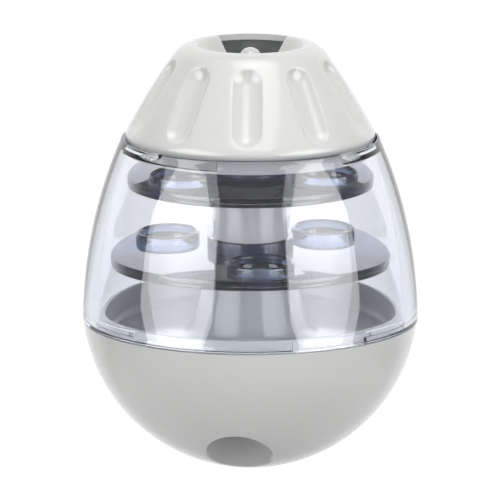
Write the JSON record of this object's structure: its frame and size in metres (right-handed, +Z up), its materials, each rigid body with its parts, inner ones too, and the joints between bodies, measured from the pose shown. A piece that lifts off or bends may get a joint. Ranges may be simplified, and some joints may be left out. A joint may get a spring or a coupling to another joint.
{
  "type": "treat dispenser",
  "caption": "Egg-shaped treat dispenser that rocks on a weighted ball base, with a clear barrel, turning discs with holes, a funnel cap and an outlet low in the base.",
  "frame": {"origin": "middle of the small flat under the base", "axes": "+Z up along the egg's axis, +X to the right, the outlet faces -Y"},
  "size_m": [0.1304, 0.1304, 0.1654],
  "materials": {
    "grey_plastic": "gloss, warm pale grey",
    "clear_plastic": "clear, gloss",
    "smoke_plastic": "clear smoke blue, gloss",
    "cast_weight": "as cast",
    "screw_steel": "zinc plated"
  },
  "bodies": {
    "base": {"base_bowl": "grey_plastic", "ballast_weight": "cast_weight", "ballast_screws": "screw_steel", "floor_tray": "grey_plastic", "column": "grey_plastic"},
    "shell": {"clear_shell": "clear_plastic"},
    "cap": {"cap": "grey_plastic"},
    "lower_disc": {"lower_disc": "smoke_plastic"},
    "upper_disc": {"upper_disc": "smoke_plastic"}
  },
  "joints": [
    {"name": "shell_twist", "type": "hinge", "parent": "base", "child": "shell", "pos_m": [0, 0, 0.0577], "axis": [0, 0, 1], "range_deg": [0, 30]},
    {"name": "cap_twist", "type": "hinge", "parent": "shell", "child": "cap", "pos_m": [0, 0, 0.129], "axis": [0, 0, 1], "range_deg": [0, 30]},
    {"name": "lower_disc_turn", "type": "hinge", "parent": "base", "child": "lower_disc", "pos_m": [0, 0, 0.08], "axis": [0, 0, 1], "continuous": true},
    {"name": "upper_disc_turn", "type": "hinge", "parent": "base", "child": "upper_disc", "pos_m": [0, 0, 0.1104], "axis": [0, 0, 1], "continuous": true}
  ]
}
